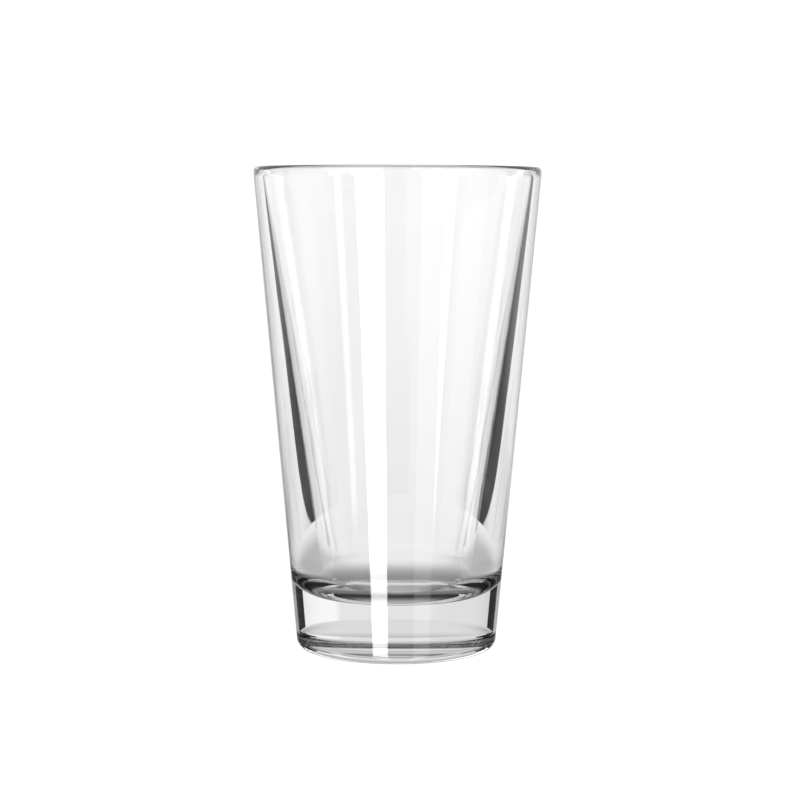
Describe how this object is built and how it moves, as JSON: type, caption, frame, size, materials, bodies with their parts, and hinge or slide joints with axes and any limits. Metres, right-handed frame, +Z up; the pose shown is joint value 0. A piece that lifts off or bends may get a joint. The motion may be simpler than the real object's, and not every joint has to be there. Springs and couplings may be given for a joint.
{
  "type": "mixing glass",
  "caption": "Heavy clear pressed mixing glass: straight conical wall that thickens downward, rounded corner at a nearly flat floor, thick solid base with a shallow push-up, and rounded lip.",
  "frame": {"origin": "centre of the ring the glass stands on, on the surface under it", "axes": "+Z up along the glass's axis, from the base to the mouth; the glass is round, so +X and +Y are free"},
  "size_m": [0.0884, 0.0884, 0.1492],
  "materials": {
    "clear_glass": "fire-polished clear soda-lime glass, smooth, a little duller on the ring it stands on"
  },
  "bodies": {
    "root": {"mixing_glass": "clear_glass"}
  },
  "joints": []
}
